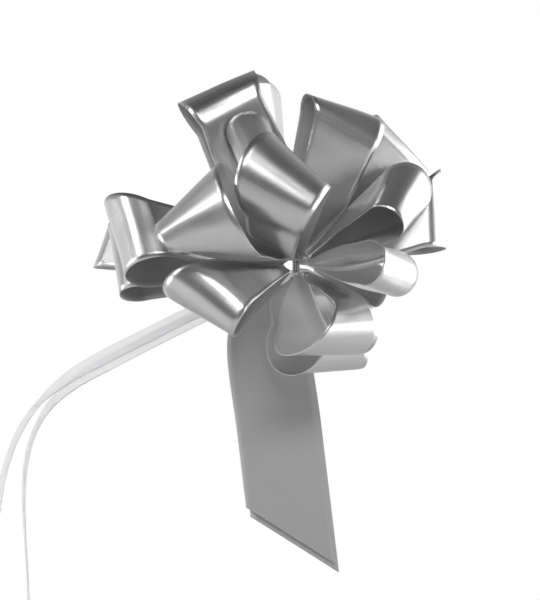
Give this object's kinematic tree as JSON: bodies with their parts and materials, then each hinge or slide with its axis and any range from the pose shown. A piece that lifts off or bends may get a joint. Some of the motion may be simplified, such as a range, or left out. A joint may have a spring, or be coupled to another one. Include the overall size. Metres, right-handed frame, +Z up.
{
  "type": "pre-made gift bow",
  "caption": "Gathered pull bow of wide metallised ribbon loops, with a two-layer slant-cut tail and narrow pull strings.",
  "frame": {"origin": "middle of the stack of welded necks where the ribbon is gathered, which is where the bow is tied on", "axes": "-Y towards the front of the rosette, +Z up as the bow hangs with its tail down, +X to the right seen from the front"},
  "size_m": [0.2809, 0.2118, 0.5288],
  "materials": {
    "satin_ribbon": "satin metallised film, glossier on the outside of each loop",
    "tail_ribbon": "matte back of the metallised film",
    "welded_neck": "creased and welded film",
    "pull_string": "pale pearl film"
  },
  "bodies": {
    "gather": {"neck_01": "welded_neck", "neck_02": "welded_neck", "neck_03": "welded_neck", "neck_04": "welded_neck", "neck_05": "welded_neck", "neck_06": "welded_neck", "neck_07": "welded_neck", "neck_08": "welded_neck", "neck_09": "welded_neck", "neck_10": "welded_neck", "string_front_inner": "pull_string", "string_back_inner": "pull_string", "string_front": "pull_string", "string_back": "pull_string"},
    "loop_top_left": {"loop_top_left": "satin_ribbon"},
    "loop_top": {"loop_top": "satin_ribbon"},
    "loop_upper_centre": {"loop_upper_centre": "satin_ribbon"},
    "loop_front_centre": {"loop_front_centre": "satin_ribbon"},
    "loop_front_left": {"loop_front_left": "satin_ribbon"},
    "loop_left_front": {"loop_left_front": "satin_ribbon"},
    "loop_left_middle": {"loop_left_middle": "satin_ribbon"},
    "loop_left_back": {"loop_left_back": "satin_ribbon"},
    "loop_lower_left": {"loop_lower_left": "satin_ribbon"},
    "loop_lower_front": {"loop_lower_front": "satin_ribbon"},
    "loop_lower_back": {"loop_lower_back": "satin_ribbon"},
    "loop_right_upper": {"loop_right_upper": "satin_ribbon"},
    "loop_right_lower": {"loop_right_lower": "satin_ribbon"},
    "loop_top_right": {"loop_top_right": "satin_ribbon"},
    "loop_top_right_back": {"loop_top_right_back": "satin_ribbon"},
    "loop_right_back": {"loop_right_back": "satin_ribbon"},
    "loop_back_upper": {"loop_back_upper": "satin_ribbon"},
    "loop_back_lower": {"loop_back_lower": "satin_ribbon"},
    "tail_front": {"tail_front": "tail_ribbon"},
    "tail_back": {"tail_back": "tail_ribbon"}
  },
  "joints": [
    {"name": "loop_top_left_swing", "type": "hinge", "parent": "gather", "child": "loop_top_left", "pos_m": [-0.0037, 0.005, 0.0082], "axis": [-0.9032, -0.12, -0.4121], "range_deg": [-2, 1], "stiffness_Nm_per_rad": 0.03},
    {"name": "loop_top_swing", "type": "hinge", "parent": "gather", "child": "loop_top", "pos_m": [-0.0019, 0.0148, 0.0083], "axis": [-0.102, -0.9947, -0.01], "range_deg": [-6, 6], "stiffness_Nm_per_rad": 0.03},
    {"name": "loop_upper_centre_swing", "type": "hinge", "parent": "gather", "child": "loop_upper_centre", "pos_m": [-0.0029, -0.0102, 0.0079], "axis": [0.2001, -0.8303, -0.5202], "range_deg": [-3, 2], "stiffness_Nm_per_rad": 0.03},
    {"name": "loop_front_centre_swing", "type": "hinge", "parent": "gather", "child": "loop_front_centre", "pos_m": [-0.0007, -0.0217, 0.0045], "axis": [0.8036, 0.1209, -0.5827], "range_deg": [-2.5, 2.5], "stiffness_Nm_per_rad": 0.03},
    {"name": "loop_front_left_swing", "type": "hinge", "parent": "gather", "child": "loop_front_left", "pos_m": [-0.0054, -0.0178, 0.0024], "axis": [0.7648, -0.4029, 0.5028], "range_deg": [-1.2, 6], "stiffness_Nm_per_rad": 0.03},
    {"name": "loop_left_front_swing", "type": "hinge", "parent": "gather", "child": "loop_left_front", "pos_m": [-0.0089, 0.0003, 0.0013], "axis": [0.279, -0.389, -0.878], "range_deg": [-6, 2.5], "stiffness_Nm_per_rad": 0.03},
    {"name": "loop_left_middle_swing", "type": "hinge", "parent": "gather", "child": "loop_left_middle", "pos_m": [-0.0085, 0.0059, 0.0002], "axis": [0.171, -0.412, -0.895], "range_deg": [-2.5, 0], "stiffness_Nm_per_rad": 0.03},
    {"name": "loop_left_back_swing", "type": "hinge", "parent": "gather", "child": "loop_left_back", "pos_m": [-0.0075, 0.0138, 0.0014], "axis": [-0.349, 0.13, -0.9281], "range_deg": [0, 10], "stiffness_Nm_per_rad": 0.03},
    {"name": "loop_lower_left_swing", "type": "hinge", "parent": "gather", "child": "loop_lower_left", "pos_m": [-0.0067, -0.0141, -0.0031], "axis": [0.82, -0.19, -0.54], "range_deg": [-3, 10], "stiffness_Nm_per_rad": 0.03},
    {"name": "loop_lower_front_swing", "type": "hinge", "parent": "gather", "child": "loop_lower_front", "pos_m": [0.0031, -0.0188, -0.0062], "axis": [-0.8079, -0.5879, -0.04], "range_deg": [-3, 2], "stiffness_Nm_per_rad": 0.03},
    {"name": "loop_lower_back_swing", "type": "hinge", "parent": "gather", "child": "loop_lower_back", "pos_m": [0.0025, 0.0009, -0.0086], "axis": [-0.8393, -0.5392, -0.07], "range_deg": [-0.8, 3], "stiffness_Nm_per_rad": 0.03},
    {"name": "loop_right_upper_swing", "type": "hinge", "parent": "gather", "child": "loop_right_upper", "pos_m": [0.0076, -0.0051, 0.0044], "axis": [-0.3783, -0.7465, -0.5474], "range_deg": [-1, 2], "stiffness_Nm_per_rad": 0.03},
    {"name": "loop_right_lower_swing", "type": "hinge", "parent": "gather", "child": "loop_right_lower", "pos_m": [0.0078, -0.0185, -0.0006], "axis": [-0.462, -0.8739, 0.151], "range_deg": [-2, 0.8], "stiffness_Nm_per_rad": 0.03},
    {"name": "loop_top_right_swing", "type": "hinge", "parent": "gather", "child": "loop_top_right", "pos_m": [0.0026, 0.0007, 0.0085], "axis": [-0.8665, -0.4382, 0.2391], "range_deg": [-1, 1.5], "stiffness_Nm_per_rad": 0.03},
    {"name": "loop_top_right_back_swing", "type": "hinge", "parent": "gather", "child": "loop_top_right_back", "pos_m": [0.0053, 0.0146, 0.0063], "axis": [-0.6699, -0.32, 0.6699], "range_deg": [-0.6, 10], "stiffness_Nm_per_rad": 0.03},
    {"name": "loop_right_back_swing", "type": "hinge", "parent": "gather", "child": "loop_right_back", "pos_m": [0.0082, 0.0051, 0.0031], "axis": [-0.061, 0.1229, 0.9905], "range_deg": [-3, 0.6], "stiffness_Nm_per_rad": 0.03},
    {"name": "loop_back_upper_swing", "type": "hinge", "parent": "gather", "child": "loop_back_upper", "pos_m": [-0.0001, 0.02, 0.0041], "axis": [-0.9939, 0, -0.11], "range_deg": [-8, 1.2], "stiffness_Nm_per_rad": 0.03},
    {"name": "loop_back_lower_swing", "type": "hinge", "parent": "gather", "child": "loop_back_lower", "pos_m": [0.0035, 0.0222, -0.001], "axis": [-0.9877, 0.1, 0.12], "range_deg": [-1.2, 8], "stiffness_Nm_per_rad": 0.03},
    {"name": "tail_swing", "type": "hinge", "parent": "gather", "child": "tail_front", "pos_m": [0.001, 0.015, -0.009], "axis": [1, 0, 0], "range_deg": [0, 4]},
    {"name": "tail_part", "type": "hinge", "parent": "tail_front", "child": "tail_back", "pos_m": [0.001, 0.0172, -0.009], "axis": [1, 0, 0], "range_deg": [0, 3]}
  ]
}
